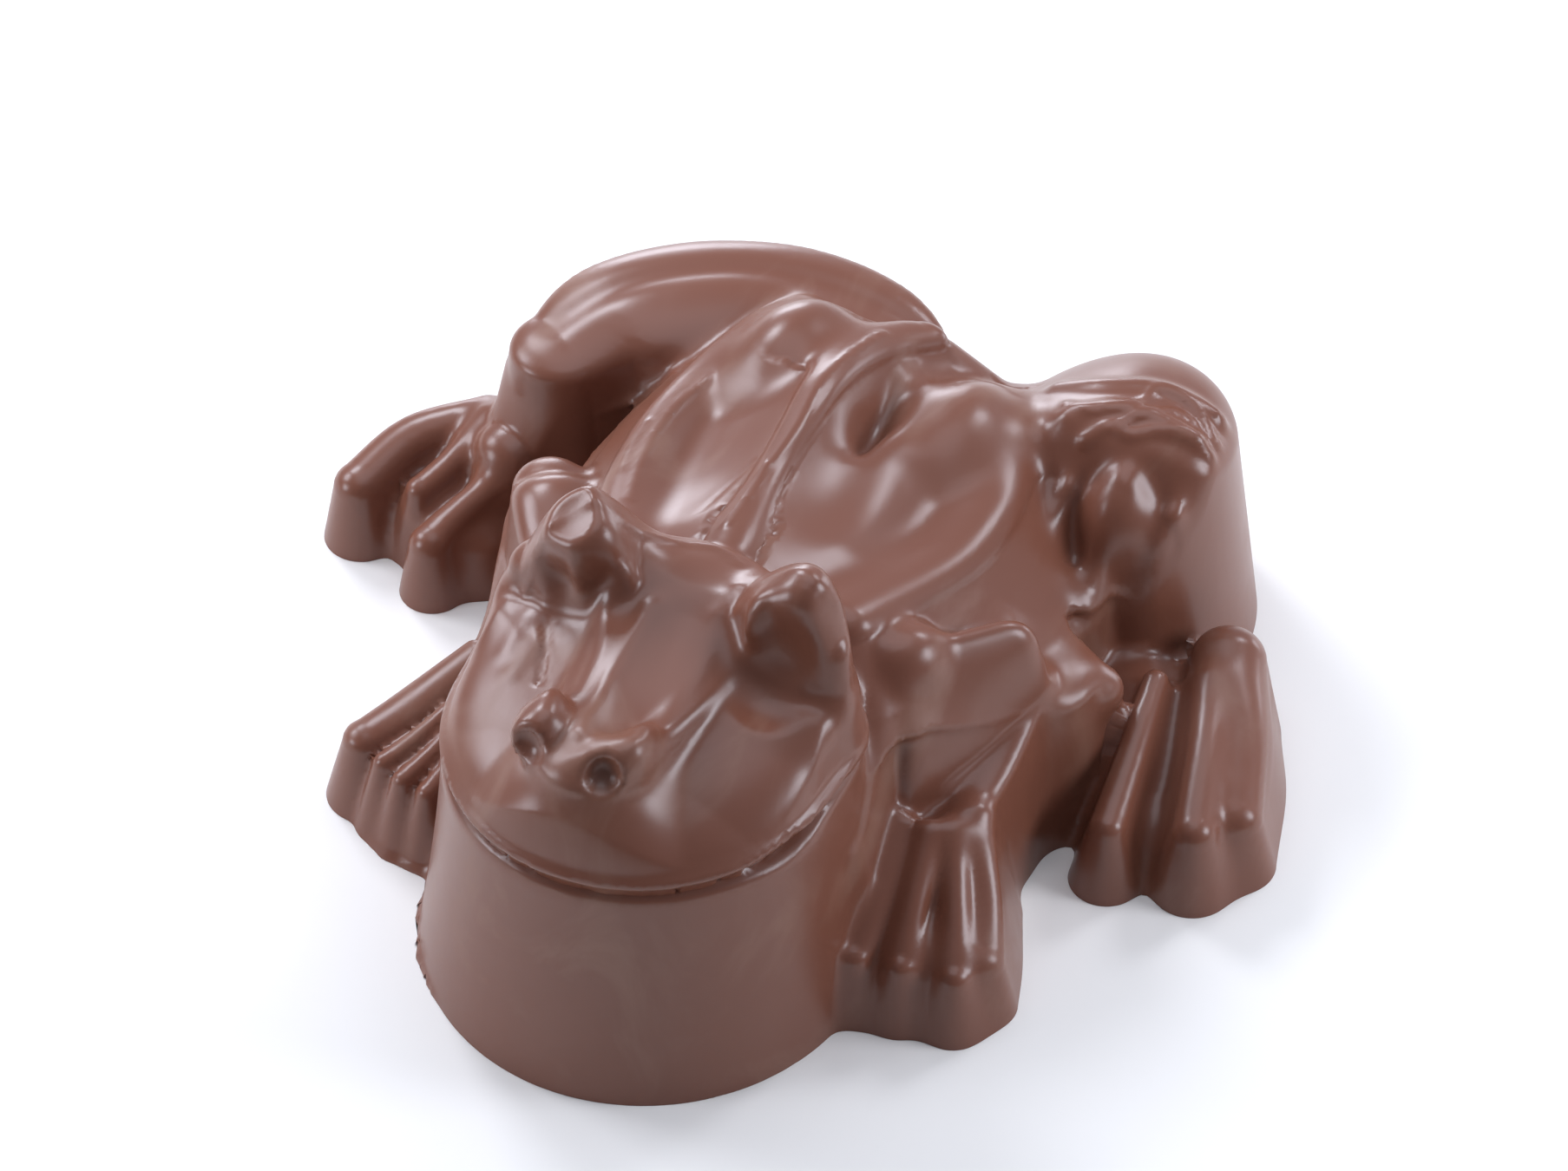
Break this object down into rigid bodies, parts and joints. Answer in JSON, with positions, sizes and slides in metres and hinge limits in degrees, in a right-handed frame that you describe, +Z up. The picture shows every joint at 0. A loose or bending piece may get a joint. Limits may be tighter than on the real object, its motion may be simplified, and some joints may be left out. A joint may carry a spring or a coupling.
{
  "type": "moulded chocolate frog",
  "caption": "Crouching natural frog cast in milk chocolate, one solid piece with a flat underside, raised eyes, wide mouth and splayed legs.",
  "frame": {"origin": "a point on the flat underside, on the frog's middle line, level with its shoulders", "axes": "+Z up from the flat underside, +X towards the frog's left side, -Y the way the frog faces"},
  "size_m": [0.0557, 0.0515, 0.0248],
  "materials": {
    "milk_chocolate": "satin"
  },
  "bodies": {
    "root": {"chocolate_frog": "milk_chocolate"}
  },
  "joints": []
}
